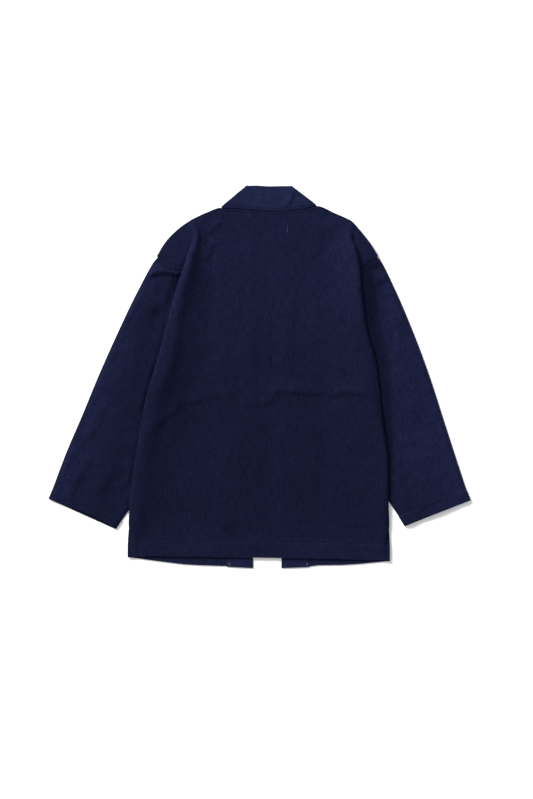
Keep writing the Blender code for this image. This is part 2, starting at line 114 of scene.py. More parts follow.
# Each side of the back, level by level: its seam or hidden edge, the fold's edge, and the crest and
# foot of the fold's inner slope. roll is 1 where the side rolls over and 0 where it lies flat.
SIDE_COLUMNS = (
    "row_y", "edge_x", "seam_x", "seam_y", "under_z", "edge_z", "crest_in", "crest_z", "foot_in", "foot_y",
    "roll",
)
LEFT_SIDE = (
    (299, -141, -209, 243, 5.0, 6.2, 9, 9.0, 32, 299, 1),
    (270, -149, -196, 231, 5.8, 7.4, 11, 12.0, 50, 270, 1),
    (245, -157, -180, 226, 6.3, 8.0, 12, 14.0, 62, 245, 1),
    (222, -164, -163, 224, 6.2, 9.0, 13, 15.2, 74, 222, 1),
    (172, -180, -168, 172, 5.2, 10.2, 15, 15.0, 86, 172, 1),
    (104, -198, -180, 104, 4.8, 10.8, 20, 14.4, 98, 104, 1),
    (38, -215, -187, 38, 4.8, 10.0, 25, 13.0, 104, 38, 1),
    (-12, -231, -200, -12, 4.8, 9.2, 25, 11.8, 104, -12, 1),
    (-60, -243, -217, -60, 4.8, 8.4, 23, 10.8, 102, -60, 1),
    (-122, -254, -235, -122, 4.8, 7.4, 18, 9.6, 98, -122, 1),
    (-190, -265, -252, -190, 4.8, 6.5, 17, 8.4, 94, -190, 1),
    (-262, -274.4, -269, -262, 4.6, 5.8, 19, 7.2, 86, -262, 1),
    (-312, -277.2, -276, -312, 3.2, 4.4, 16, 5.8, 68, -311, 1),
    (-349.5, -279.2, -279, -349.5, 3.0, 3.1, 15, 4.2, 52, -346.5, 0),
    (-355.5, -279.4, -279.2, -355.5, 3.4, 3.4, 15, 4.2, 52, -352.5, 0),
    (-382.6, -279.6, -279.4, -382.6, 3.4, 3.4, 14, 3.7, 50, -379.6, 0),
)
RIGHT_SIDE = (
    (299, 200, 247, 252, 4.6, 6.4, 10, 7.6, 44, 299, 0.4),
    (270, 205, 238, 247, 5.8, 10.8, 7, 13.2, 70, 270, 1),
    (245, 210, 225, 238, 7.4, 13.0, 7, 15.8, 94, 245, 1),
    (222, 213, 211, 229, 9.4, 13.4, 8, 16.2, 114, 222, 1),
    (172, 217, 208, 172, 10.6, 15.0, 9, 17.4, 138, 172, 1),
    (104, 226, 213, 104, 10.4, 15.0, 10, 17.4, 148, 104, 1),
    (38, 244.5, 218, 38, 9.4, 14.0, 11, 16.4, 150, 38, 1),
    (-12, 252, 228, -12, 8.2, 12.4, 13, 14.8, 144, -12, 1),
    (-60, 257, 238, -60, 7.0, 10.6, 14, 13.0, 134, -60, 1),
    (-122, 265, 249, -122, 5.8, 8.8, 7, 11.0, 122, -122, 1),
    (-190, 272.5, 261, -190, 5.2, 7.4, 6, 9.4, 108, -190, 1),
    (-262, 272.8, 268, -262, 4.6, 6.2, 9, 7.8, 96, -262, 1),
    (-314, 274.6, 273.5, -314, 3.2, 4.5, 13, 5.8, 92, -313, 1),
    (-357.5, 275.8, 275.6, -357.5, 3.0, 3.1, 13, 4.2, 100, -352, 0),
    (-363.5, 275.9, 275.7, -363.5, 3.4, 3.4, 13, 4.1, 104, -358, 0),
    (-390.8, 276, 275.8, -390.8, 3.4, 3.4, 14, 3.7, 110, -385.5, 0),
)
# On the right side's first levels the cloth below the fold's edge comes up towards it
RIGHT_LIP_UP = (0.5, 0.65, 0.5)
LIP_UP = 0.2
# How far inside the fold's edge the cloth below it lies, where it rolls and where it lies flat, and
# the fold itself where it lies flat
LIP_IN, FLAT_LIP_IN, FLAT_FOLD_IN = 3.0, 4.0, 7.0
HEM_ROWS = 3
# How finely the cloth is cut between two levels, and between two points of a level
DOWN_STEPS = (34, 9, 8, 7, 14, 18, 17, 14, 14, 17, 18, 19, 14, 14, 4, 9)
ACROSS_STEPS = (4, 3, 3, 6, 9, 10, 8, 12, 18, 15, 14, 6, 12, 12, 5, 3, 3, 4)
# The fold's inner slope is steep at first: this far in, only this share of its height is left
SLOPE_AT = 0.42
SLOPE_HEIGHT = 0.36
FOLD_POINT = 3  # of the points across a level, the one at the fold's edge
LEFT_SHOULDER = (
    (-217.5, 255.0, 4.6), (-196.0, 289.0, 3.8), (-165.0, 318.5, 2.6), (-152.0, 327.5, 2.1),
    (-143.0, 333.0, 2.0), (-130.8, 339.1, 1.9), (-112.0, 347.5, BACK_Z),
)
RIGHT_SHOULDER = (
    (251.0, 255.2, 4.6), (231.5, 286.0, 3.8), (209.0, 314.0, 2.6), (201.0, 323.5, 2.1),
    (194.0, 330.0, 2.0), (180.9, 336.6, 1.9), (160.0, 346.0, BACK_Z),
)
NECK_SEAM = ((-80.0, 357.7), (-40.0, 356.0), (24.0, 350.0), (74.0, 353.6), (118.9, 361.8))
NECK_FREE = ((-24.9, 403.9), (-8.0, 404.4), (22.0, 402.8), (46.0, 403.4), (64.9, 403.3))
NECK_LAP = 5.0
NECK_EASE = 40.0
NECK_SWELL = 1.3
NECK_SWELL_AT, NECK_SWELL_IN, NECK_SWELL_OUT = 4.0, 13.0, 3.0  # below the seam, and its reach either way
NECK_STITCH_DROP = 8.0
NECK_GROOVE, NECK_GROOVE_WIDTH = 0.8, 2.0
HEM_STITCH_ROWS = (33.0, 40.5)  # above the hem's edge
HEM_GROOVE, HEM_GROOVE_WIDTH = 0.35, 1.8
HEM_PUCKER, HEM_PUCKER_REACH = 0.3, 16.0
HEM_RISE = 1.1  # the hem stands a little off the fronts
HEM_RISE_REACH = 70.0
CREASED_FROM, CREASED_TO, CREASED_FADE = -376.0, 352.0, 30.0
WAVES_UP = 1.3  # the waves lie about this high, clear of what is below
BACK_WAVES = ((1.1, 62, 0.6), (0.45, 23, 0.7), (0.15, 9, 1.0))
LEFT_BAND_END = (-68.6, -403.0, -13.7, -405.6)
RIGHT_BAND_END = (105.9, -403.6, 46.1, -405.6)
BAND_SLOPE = 26.0
# Storage creases, each from x0, y0 to x1, y1. It bows to the left of that way, and falls away over
# one width on its left and over another on its right: x0, y0, x1, y1, bow, height, left and right width
BACK_CREASES = (
    (-226, -118, -180, -70, 4, 1.2, 16, 8),
    (-186, -74, -132, -50, 6, 1.5, 18, 7),
    (-142, -52, -92, -44, 4, 1.4, 18, 7),
    (-100, -46, -48, -36, 5, 0.7, 16, 9),
    (-40, -52, 10, -58, -3, 1.1, 14, 6),
    (8, -58, 34, -28, -4, 1.4, 12, 6),
    (30, -30, 76, -34, 3, 1.9, 16, 5),
    (66, -30, 142, -32, -3, 2.2, 16, 5),
    (138, -46, 176, -32, 3, 1.6, 15, 6),
    (168, -34, 232, -40, 5, 2.2, 15, 6),
    (130, 152, 168, 128, 4, 2.2, 14, 5),
    (164, 130, 206, 106, -3, 2.4, 14, 5),
    (176, 96, 208, 60, 4, 1.6, 12, 6),
    (-106, 302, -84, 326, 3, 1.7, 10, 4),
    (-114, 246, -98, 284, -3, 1.6, 11, 4),
    (120, 312, 180, 336, -5, 0.8, 12, 8),
    (-130, 336, -112, 306, 4, 1.1, 12, 6),
    (-150, 60, -128, 140, 6, 0.6, 16, 10),
    (-60, 90, -46, 200, -6, 0.5, 14, 10),
    (60, 60, 72, 170, 5, 0.7, 12, 12),
    (16, -130, 40, -220, 6, 0.5, 14, 12),
    (-180, -190, -110, -160, 6, 0.7, 16, 9),
    (96, -120, 170, -100, -5, 0.7, 16, 9),
    (-210, -268, -150, -250, 4, 0.5, 14, 8),
    (150, -250, 236, -230, -6, 0.6, 15, 9),
    (112, 110, 118, 160, 3, 0.7, 8, 8),
    (-214, 264, -164, 238, 2, 1.8, 14, 7),
)


def column(table, names, name):
    """One named column of a table, as an array."""
    return np.array([row[names.index(name)] for row in table], float)


def ease(t):
    """0 to 1 with level ends."""
    t = np.clip(t, 0, 1)
    return t * t * (3 - 2 * t)


def numbers(steps):
    """Reading places that cut each interval between points into its own number of steps."""
    places = [i + k / n for i, n in enumerate(steps) for k in range(n)]
    return np.array(places + [len(steps)])


def smooth(points, at):
    """Smooth curve through points numbered 0, 1, 2 and so on, read at the numbers in at."""
    points = np.asarray(points, float)
    step = np.diff(points, axis=0)
    before, after = step[:-1], step[1:]
    same_way = before * after > 0
    middle = np.where(same_way, 2 * before * after / np.where(same_way, before + after, 1), 0)
    slope = np.concatenate([step[:1], middle, step[-1:]])
    start = np.clip(np.floor(at).astype(int), 0, len(points) - 2)
    t = (np.asarray(at) - start).reshape((-1,) + (1,) * (points.ndim - 1))
    rise = points[start] + step[start] * t * t * (3 - 2 * t)
    return rise + slope[start] * t * (1 - t) ** 2 - slope[start + 1] * t * t * (1 - t)


def distance_to(line, x, y):
    """Distance in plan from points to a line of points."""
    best = np.full(np.shape(x), np.inf)
    for (x0, y0), (x1, y1) in zip(line[:-1], line[1:]):
        dx, dy = x1 - x0, y1 - y0
        t = np.clip(((x - x0) * dx + (y - y0) * dy) / (dx * dx + dy * dy), 0, 1)
        best = np.minimum(best, np.hypot(x - x0 - t * dx, y - y0 - t * dy))
    return best


def creased(creases, x, y):
    """How far a table of creases raises the cloth."""
    total = np.zeros(np.shape(x))
    for x0, y0, x1, y1, bow, height, left_width, right_width in creases:
        length = np.hypot(x1 - x0, y1 - y0)
        along = ((x - x0) * (x1 - x0) + (y - y0) * (y1 - y0)) / length**2
        off = ((y - y0) * (x1 - x0) - (x - x0) * (y1 - y0)) / length
        off = off - bow * 4 * along * (1 - along)
        width = np.where(off > 0, left_width, right_width)
        fade = ease(along * 3 + 0.5) * ease((1 - along) * 3 + 0.5)
        total = total + height * np.exp(-((off / width) ** 2)) * fade
    return total


def rumple(x, y, size, seed):
    """Soft waves from -1 to 1, about size across, the same on each run."""
    rng = np.random.default_rng(seed)
    heights = rng.uniform(-1, 1, (64, 64))
    u, v = np.asarray(x) / size + 32, np.asarray(y) / size + 32
    i, j = np.floor(u).astype(int) % 63, np.floor(v).astype(int) % 63
    s, t = ease(u - np.floor(u)), ease(v - np.floor(v))
    low = heights[i, j] * (1 - s) + heights[i + 1, j] * s
    high = heights[i, j + 1] * (1 - s) + heights[i + 1, j + 1] * s
    return low * (1 - t) + high * t


def waves(kinds, x, y, seed):
    """Soft waves of several kinds: each one's height, its size in x, and its size in x over that in y."""
    total = 0
    for number, (height, size, share) in enumerate(kinds):
        total = total + height * rumple(x, y * share, size, seed + number)
    return total


class Signal:
    """One output of a node. Arithmetic on it adds Math nodes to its tree."""

    def __init__(self, tree, socket=None):
        self.tree = tree
        self.socket = socket

    def node(self, kind, settings, sockets, output=0):
        """A node of any kind: its settings first, then the values or links of its sockets."""
        made = self.tree.nodes.new(kind)
        for name, value in settings.items():
            setattr(made, name, value)
        for name, value in sockets.items():
            if isinstance(value, Signal):
                self.tree.links.new(value.socket, made.inputs[name])
            else:
                made.inputs[name].default_value = value
        return Signal(self.tree, made.outputs[output])

    def maths(self, operation, first, second):
        return self.node("ShaderNodeMath", {"operation": operation}, {0: first, 1: second})

    def __add__(self, other):
        return self.maths("ADD", self, other)

    def __radd__(self, other):
        return self.maths("ADD", other, self)

    def __sub__(self, other):
        return self.maths("SUBTRACT", self, other)

    def __rsub__(self, other):
        return self.maths("SUBTRACT", other, self)

    def __mul__(self, other):
        return self.maths("MULTIPLY", self, other)

    def __rmul__(self, other):
        return self.maths("MULTIPLY", other, self)


def indigo_cotton(name, deep, worn, painted_light_and_tone):
    """Indigo slub cotton: uneven yarns both ways, the ones along the cloth thicker and paler."""
    material = bpy.data.materials.new(name)
    material.use_nodes = True
    tree = material.node_tree
    shader = tree.nodes["Principled BSDF"]
    start = Signal(tree)
    grain = start.node("ShaderNodeUVMap", {"uv_map": "grain"}, {})

    def yarns(across, along, detail):
        """Noise drawn out along the yarns: how many to a metre across them and along them."""
        counts = {0: grain, 1: (across, along, 1.0)}
        drawn = start.node("ShaderNodeVectorMath", {"operation": "MULTIPLY"}, counts)
        noise = {"Vector": drawn, "Scale": 1.0, "Detail": detail, "Roughness": 0.6}
        return start.node("ShaderNodeTexNoise", {}, noise)

    slubs = yarns(300.0, 42.0, 3.0)
    short_slubs = yarns(430.0, 120.0, 2.0)
    cross_slubs = yarns(60.0, 330.0, 2.0)
    mottle = yarns(110.0, 90.0, 3.0)
    fading = yarns(9.0, 7.0, 3.0)
    fine_warp = yarns(1400.0, 180.0, 1.0)
    fine_weft = yarns(180.0, 1400.0, 1.0)
    shade = slubs * 0.45 + short_slubs * 0.35 + cross_slubs * 0.2
    shade = shade + mottle * 0.25 + fading * 0.15 + fine_warp * 0.1
    least_to_most = {"Value": shade, "From Min": 0.55, "From Max": 0.97, "To Min": 0.0, "To Max": 1.0}
    worn_share = start.node("ShaderNodeMapRange", {}, least_to_most)
    colour = start.node("ShaderNodeMix", {"data_type": "RGBA"}, {0: worn_share, 6: deep, 7: worn}, 2)
    # Steps along the grain scale the colour: painted shade on the back, painted light and shade on the
    # sleeves, and plain steps of tone on the back's hem and on the band
    for way, near, far, at_near, at_far in painted_light_and_tone:
        along_way = {0: grain, 1: (*way, 0.0)}
        place = start.node("ShaderNodeVectorMath", {"operation": "DOT_PRODUCT"}, along_way, 1)
        bright = start.node(
            "ShaderNodeMapRange",
            {"interpolation_type": "SMOOTHSTEP"},
            {"Value": place, "From Min": near, "From Max": far, "To Min": at_near, "To Max": at_far},
        )
        colour = start.node("ShaderNodeVectorMath", {"operation": "SCALE"}, {0: colour, "Scale": bright})
    tree.links.new(colour.socket, shader.inputs["Base Color"])
    height = fine_warp * 0.4 + fine_weft * 0.4 + slubs * 0.7 + short_slubs * 0.5
    bump = start.node("ShaderNodeBump", {}, {"Strength": 0.6, "Distance": 0.0007, "Height": height})
    tree.links.new(bump.socket, shader.inputs["Normal"])
    roughness = 0.84 + slubs * 0.16
    tree.links.new(roughness.socket, shader.inputs["Roughness"])
    shader.inputs["Specular IOR Level"].default_value = 0.02
    shader.inputs["Sheen Weight"].default_value = 0.006
    shader.inputs["Sheen Roughness"].default_value = 0.5
    shader.inputs["Sheen Tint"].default_value = FUZZ_TINT
    return material


# The back's colour carries painted shade, darker towards the hem
back_cotton = indigo_cotton("indigo_cotton_back", INDIGO_DEEP, INDIGO_WORN, BACK_SHADE_AND_HEM_TONE)


def sew_cloth(name, node, rows, grain, thickness, material, offset=0, closed=False):
    """A wall of cloth through rows of points in millimetres, standing for one CAD node.

    grain is where each point lies on the cloth as woven, and thickness the cloth's there. offset is
    0 where the points are the middle of the wall, and -1 where they are its outside.
    """
    rows = np.asarray(rows, float) * MM
    grain = np.asarray(grain, float) * MM
    count, width = rows.shape[:2]
    net = bmesh.new()
    layer = net.loops.layers.uv.new("grain")
    points = [[net.verts.new(p) for p in row] for row in rows]
    for i in range(count - 1):
        for j in range(width if closed else width - 1):
            k = (j + 1) % width
            corners = ((i, j), (i + 1, j), (i + 1, k), (i, k))
            face = net.faces.new([points[a][b] for a, b in corners])
            for loop, (a, b) in zip(face.loops, corners):
                loop[layer].uv = grain[a, b]
    mesh = bpy.data.meshes.new(name)
    net.to_mesh(mesh)
    net.free()
    mesh.materials.append(material)
    piece = bpy.data.objects.new(name, mesh)
    scene.collection.objects.link(piece)
    group = piece.vertex_groups.new(name="thickness")
    for index, share in enumerate((np.ravel(thickness) - THIN_EDGE) / (DOUBLE_CLOTH - THIN_EDGE)):
        group.add([index], float(share), "REPLACE")
    wall = piece.modifiers.new("wall", "SOLIDIFY")
    wall.thickness = DOUBLE_CLOTH * MM
    wall.thickness_vertex_group = THIN_EDGE / DOUBLE_CLOTH
    wall.vertex_group = group.name
    wall.offset = offset
    graph = bpy.context.evaluated_depsgraph_get()
    piece.data = bpy.data.meshes.new_from_object(piece.evaluated_get(graph), depsgraph=graph)
    piece.modifiers.clear()
    piece.data.shade_smooth()
    piece.data.set_sharp_from_angle(angle=SHARP_TURN)
    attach(piece, "root")
    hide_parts(node)
    return piece


def side_points(table, inward, lip_up=()):
    """Seven control points for each level of one side of the back, from its seam inwards.

    lip_up is how much of the way up to the fold's edge the cloth below it comes, on the first levels.
    """
    value = {name: column(table, SIDE_COLUMNS, name) for name in SIDE_COLUMNS}
    edge, roll, y = value["edge_x"], value["roll"], value["row_y"]
    seam_x, seam_y, under = value["seam_x"], value["seam_y"], value["under_z"]
    lip_x = edge + inward * (LIP_IN * roll + FLAT_LIP_IN * (1 - roll))
    fold_x = edge + inward * (CLOTH / 2 * roll + FLAT_FOLD_IN * (1 - roll))
    slope_in = value["crest_in"] + (value["foot_in"] - value["crest_in"]) * SLOPE_AT
    slope_z = BACK_Z + (value["crest_z"] - BACK_Z) * SLOPE_HEIGHT
    lip_share = np.pad(lip_up, (0, len(y) - len(lip_up)))
    lip_z = under + LIP_UP * roll + lip_share * (value["edge_z"] - CLOTH - under)
    points = (
        (seam_x, seam_y, under),
        ((seam_x + lip_x) / 2, (seam_y + y) / 2, under),
        (lip_x, y, lip_z),
        (fold_x, y, value["edge_z"]),
        (edge + inward * value["crest_in"], (y + value["foot_y"]) / 2, value["crest_z"]),
        (edge + inward * slope_in, (y + value["foot_y"]) / 2, slope_z),
        (edge + inward * value["foot_in"], value["foot_y"], np.full(len(y), BACK_Z)),
    )
    return np.stack([np.stack(p, axis=1) for p in points], axis=1)


def lift_over_band(x, y):
    """How far the neck band raises the back that lies on it."""
    away = np.full(np.shape(x), np.inf)
    for end, seam, free in (
        (LEFT_BAND_END, NECK_SEAM[0], NECK_FREE[0]),
        (RIGHT_BAND_END, NECK_SEAM[-1], NECK_FREE[-1]),
    ):
        low = ((end[0] + end[2]) / 2, (end[1] + end[3]) / 2)
        high = ((seam[0] + free[0]) / 2, (seam[1] + free[1]) / 2)
        away = np.minimum(away, distance_to((low, high), x, y))
    half_band = abs(RIGHT_BAND_END[2] - RIGHT_BAND_END[0]) / 2
    return (DOUBLE_CLOTH - CLOTH) * ease(1 - (away - half_band) / BAND_SLOPE)


left, right = side_points(LEFT_SIDE, 1), side_points(RIGHT_SIDE, -1, RIGHT_LIP_UP)
neck_x = np.array([x for x, _ in NECK_SEAM])
share = (neck_x - LEFT_SHOULDER[-1][0]) / (RIGHT_SHOULDER[-1][0] - LEFT_SHOULDER[-1][0])
levels = [list(LEFT_SHOULDER) + [(x, y, BACK_Z) for x, y in NECK_SEAM] + list(RIGHT_SHOULDER[::-1])]
for level_left, level_right in zip(left, right):
    middle = level_left[-1] + (level_right[-1] - level_left[-1]) * share[:, None]
    levels.append(np.concatenate([level_left, middle, level_right[::-1]]))
across, down = numbers(ACROSS_STEPS), numbers(DOWN_STEPS)
levels = np.array([smooth(level, across) for level in levels])
neck_first = len(LEFT_SHOULDER)
on_neck_seam = (across >= neck_first) & (across <= neck_first + len(NECK_SEAM) - 1)
neck_at = across[on_neck_seam] - neck_first
neck_line = smooth(NECK_SEAM, neck_at)
lap = (NECK_LAP + SEAM_GAP) * ease(np.minimum(neck_at, len(NECK_SEAM) - 1 - neck_at)) - 2 * SEAM_GAP
levels[0, on_neck_seam, 0] = neck_line[:, 0]
levels[0, on_neck_seam, 1] = neck_line[:, 1] + lap
back_rows = smooth(levels, down)
x, y = back_rows[..., 0], back_rows[..., 1]
last_level = len(DOWN_STEPS)
doubled = np.repeat(ease(down - (last_level - HEM_ROWS + 1))[:, None], len(across), axis=1)
last_point = len(ACROSS_STEPS)
from_side = np.minimum(across, last_point - across)[None, :]
at_armhole = ease((5 - down) / 2)[:, None] * ease(1 - from_side / 0.6)
back_thickness = CLOTH + (DOUBLE_CLOTH - CLOTH) * doubled - (CLOTH - THIN_EDGE) * at_armhole
hem_z = DOUBLE_CLOTH + SEAM_GAP + DOUBLE_CLOTH / 2
on_hem = ease(down - (last_level - HEM_ROWS))[:, None]
hem_lift = np.maximum(hem_z - back_rows[..., 2], 0) * on_hem
above_hem = y - y[-1][None, :]
hem_rise = HEM_RISE * ease(1 - above_hem / HEM_RISE_REACH) * ease((from_side - FOLD_POINT) / 3)
on_neck = ease((y - NECK_SEAM[2][1]) / NECK_EASE + 1)
on_neck = on_neck * ease((NECK_SEAM[-1][0] - np.abs(x)) / NECK_EASE + 1)
band_lift = np.maximum(lift_over_band(x, y), (DOUBLE_CLOTH - CLOTH) * on_neck)
# The top side, from one fold's edge to the other, is creased and a little rumpled, and so is what
# shows of the shoulders outside the folds
on_top = ease((from_side - FOLD_POINT) / 0.7)
off_ends = ease((y - CREASED_FROM) / CREASED_FADE) * ease((CREASED_TO - y) / CREASED_FADE)
above_fold = np.maximum(ease((2.2 - from_side) / 0.8), ease(1.8 - down)[:, None])
on_shoulder = ease(3.8 - down)[:, None] * ease(from_side / 0.5) * above_fold
relief = creased(BACK_CREASES, x, y) + WAVES_UP + waves(BACK_WAVES, x, y, 5)
relief = relief * np.maximum(on_top, on_shoulder) * off_ends
# Just outside the neck band the seam allowances raise it a little
below_neck = np.interp(x, *np.transpose(NECK_SEAM)) - y
past_swell = below_neck - NECK_SWELL_AT
swell_reach = np.where(past_swell > 0, NECK_SWELL_IN, NECK_SWELL_OUT)
neck_swell = NECK_SWELL * np.exp(-((past_swell / swell_reach) ** 2)) * on_neck
# The hem's stitching draws it in, and the cloth puckers between the stitches' rows
groove = sum(np.exp(-(((above_hem - row) / HEM_GROOVE_WIDTH) ** 2)) for row in HEM_STITCH_ROWS)
pucker = rumple(x, 0.35 * y, 11, 8) * np.exp(-(((above_hem - HEM_DEPTH) / HEM_PUCKER_REACH) ** 2))
stitched = (HEM_PUCKER * pucker - HEM_GROOVE * groove) * on_top
neck_groove = NECK_GROOVE * np.exp(-(((below_neck - NECK_STITCH_DROP) / NECK_GROOVE_WIDTH) ** 2)) * on_neck
back_rows[..., 2] += np.maximum(hem_lift, band_lift * (1 - on_hem)) + hem_rise
back_rows[..., 2] += relief + stitched + neck_swell - neck_groove
back = sew_cloth("back_cloth", "back_panel", back_rows, back_rows[..., :2], back_thickness, back_cotton)

# The two fronts: panels of the same cloth, flat on the table under the back, with turned-up hems.
# Each runs from the shoulder to the hem, and rises over the sleeve below the underarm.
EVEN_ALL_OVER = ()
front_cotton = indigo_cotton("indigo_cotton_fronts", INDIGO_DEEP, INDIGO_WORN, EVEN_ALL_OVER)
SLEEVE_EDGE = 2.6
FRONT_OVER_SLEEVE = SLEEVE_EDGE + CLOTH + SEAM_GAP
LEFT_FRONT_SIDE = (
    (356, -88), (331, -145), (305, -178.5), (281, -200.5), (256, -216), (246, -212), (236, -200),
    (222, -180), (172, -171), (104, -180), (62, -183), (46, -172), (14, -174), (-6, -186),
    (-36, -214), (-60, -223), (-122, -241), (-190, -257), (-262, -269), (-312, -273.5), (-340, -276),
)
RIGHT_FRONT_SIDE = (
    (357, 136), (331, 190.5), (305, 215.5), (281, 234), (256, 249.5), (251, 246), (243, 234), (230, 217),
    (172, 208), (104, 213), (62, 213), (46, 201), (14, 203), (-6, 215), (-36, 238), (-60, 244),
    (-122, 255), (-190, 265), (-262, 269), (-312, 271.5), (-346, 273.5),
)
FRONT_DOWN_STEPS = (6, 6, 6, 6, 3, 3, 3, 5, 8, 8, 6, 5, 5, 4, 4, 7, 8, 8, 6, 4)
FRONT_ACROSS = 48
FRONT_CROWDED = 1.7  # the points across lie closer together towards the side
HEM_STEP = 3.0  # the wall thickens over this far on either side of the hem's upper edge
LEFT_FRONT_HEM = ((-278.5, -382.0), (-232, -388.5), (-164, -397.2), (-130, -399.3), (-70, -401.2))
RIGHT_FRONT_HEM = ((275, -390.4), (209, -396.8), (175, -398.9), (124, -399.4), (107, -401.8))
UNDERARM_Y = 46.0
UNDERARM_TURN = 46.0
FRONT_SLOPE = 28.0
FRONT_TO_BAND = 0.08
# Each sleeve, ring by ring: its outer and its inner fold, how far the ring bows out, and its height
RING_COLUMNS = ("outer_x", "outer_y", "inner_x", "inner_y", "bow_x", "bow_y", "swell")
LEFT_RINGS = (
    (-207, 260, -176, 42, 34, 36, 2.6),
    (-222, 246, -180, 18, 26, 22, 2.8),
    (-263, 172, -184, -25, 12, 8, 3.8),
    (-303, 88, -191, -72, 3, 2, 4.8),
    (-340, 5, -204, -126, 0, 0, 5.0),
    (-376, -82, -223, -185, 0, 0, 5.0),
    (-411, -164, -253, -245, 0, 0, 4.8),
    (-437.6, -235, -291, -303, 0, 0, 4.4),
    (-439.0, -238.5, -293, -306, 0, 0, 4.6),
    (-447.3, -258.6, -304.3, -323.0, 0, 0, 4.6),
)
RIGHT_RINGS = (
    (241, 262, 206, 38, -26, 34, 2.6),
    (256, 246, 209, 12, -20, 21, 2.8),
    (289, 180, 212, -32, -9, 8, 3.8),
    (327, 90, 216, -78, -2, 2, 4.8),
    (358, 7, 224, -130, 0, 0, 5.0),
    (387.5, -84, 238, -186, 0, 0, 5.0),
    (413, -163, 260, -240, 0, 0, 4.8),
    (437.6, -237.5, 294, -295, 0, 0, 4.4),
    (439.0, -241, 296, -299, 0, 0, 4.6),
    (447.3, -261.4, 307.1, -317.0, 0, 0, 4.6),
)


def read_at(table, level):
    """Second column of a table at a value of its first, along straight lines."""
    points = sorted(table)
    return np.interp(level, [p[0] for p in points], [p[1] for p in points])


def bowed(t):
    """Share of a ring's bow across the sleeve: none at its folds, all of it a third of the way in."""
    return 6.75 * t * (1 - t) ** 2


def sleeve_edge(rings):
    """The sleeve's edge under the body: its armhole end, then its underarm fold, from the top."""
    value = {name: column(rings, RING_COLUMNS, name) for name in RING_COLUMNS}
    t = np.linspace(0, 1, 9)
    x = value["outer_x"][0] + (value["inner_x"][0] - value["outer_x"][0]) * t + value["bow_x"][0] * bowed(t)
    y = value["outer_y"][0] + (value["inner_y"][0] - value["outer_y"][0]) * t + value["bow_y"][0] * bowed(t)
    return list(zip(x, y)) + list(zip(value["inner_x"][1:], value["inner_y"][1:]))


def lay_front(name, side, hem_edge, rings, band_end, neck_point, inward):
    """One front: a panel on the table, rising over the sleeve at its side, with its hem."""
    y, side_x = smooth(side, numbers(FRONT_DOWN_STEPS)).T
    seam = ((band_end[1], band_end[0]), (neck_point[1], neck_point[0]))
    t = np.linspace(0, 1, FRONT_ACROSS + 1) ** FRONT_CROWDED
    seam_x = read_at(seam, y) - inward * FRONT_TO_BAND
    x = side_x[:, None] + (seam_x - side_x)[:, None] * t
    y = np.repeat(y[:, None], len(t), axis=1)
    for up in (HEM_DEPTH + HEM_STEP, HEM_DEPTH - HEM_STEP, HEM_DEPTH / 2, 0):
        corner_x = side_x[-1] + (hem_edge[0][0] - side_x[-1]) * (1 - up / (HEM_DEPTH + 2 * HEM_STEP))
        seam_x = read_at(seam, band_end[1] + up) - inward * FRONT_TO_BAND
        hem_x = corner_x + (seam_x - corner_x) * t
        x = np.vstack([x, hem_x])
        y = np.vstack([y, read_at(hem_edge, hem_x) + up])
    doubled = np.zeros(x.shape)
    doubled[-3:] = 1
    fold = [(fold_y, fold_x) for fold_x, fold_y in sleeve_edge(rings) if fold_y <= UNDERARM_Y]
    past_fold = (x - read_at(fold, y)) * inward
    rise = (FRONT_OVER_SLEEVE - CLOTH) * ease((UNDERARM_Y - y) / UNDERARM_TURN)
    rise = rise * ease(1 - (past_fold - 2) / FRONT_SLOPE)
    z = FLOOR_Z + rise * (1 - doubled) + (DOUBLE_CLOTH - CLOTH) / 2 * doubled
    rows = np.stack([x, y, z], axis=2)[:, ::inward]
    thickness = (CLOTH + (DOUBLE_CLOTH - CLOTH) * doubled)[:, ::inward]
    front = sew_cloth(name + "_cloth", name, rows, rows[..., :2], thickness, front_cotton)
    return front


front_left = lay_front(
    "front_left", LEFT_FRONT_SIDE, LEFT_FRONT_HEM, LEFT_RINGS, LEFT_BAND_END, NECK_SEAM[0], 1,
)
front_right = lay_front(
    "front_right", RIGHT_FRONT_SIDE, RIGHT_FRONT_HEM, RIGHT_RINGS, RIGHT_BAND_END, NECK_SEAM[-1], -1,
)

# The sleeves: one tube of cloth each, pressed flat by lying, turned up and stitched at the cuff. The
# armhole end lies inside the body, and soft folds run from the armhole towards the cuff.
RING_STEPS = (12, 24, 20, 20, 21, 20, 18, 2, 7)
RING_POINTS = 85
CUFF_RINGS = 2
CUFF_EDGE = 4.5
NOTCH_Y = 256.0
SLEEVE_LIFT = CLOTH + SEAM_GAP + 0.05
LIFT_FROM, LIFT_TO = 4.0, 24.0  # between these distances from the front's side it comes down to the table
SWELL_FROM = 34.0  # the swelling grows over this much outside the front, and what shows over this much
SHOWN_FROM = 7.0  # outside the body's fold and seam
SWELL_REACH = 80.0  # the sleeve swells more and more away from the body's fold
SWELL_MORE = 1.9
# How far the cuff's lower side comes out beyond its upper side, and how much wider the inner fold's
# rounding gets towards the cuff
LEFT_CUFF_SHOWS, RIGHT_CUFF_SHOWS = 5.5, 0.6
LEFT_ROUNDER, RIGHT_ROUNDER = 4.5, 0.0
ROUNDER_FROM, ROUNDER_OVER = 3, 4  # in rings
ARMHOLE_RISE = 2.4  # where the armhole's seam lifts the sleeve
ARMHOLE_REACH = 12.0
ARMHOLE_FADE = 20.0
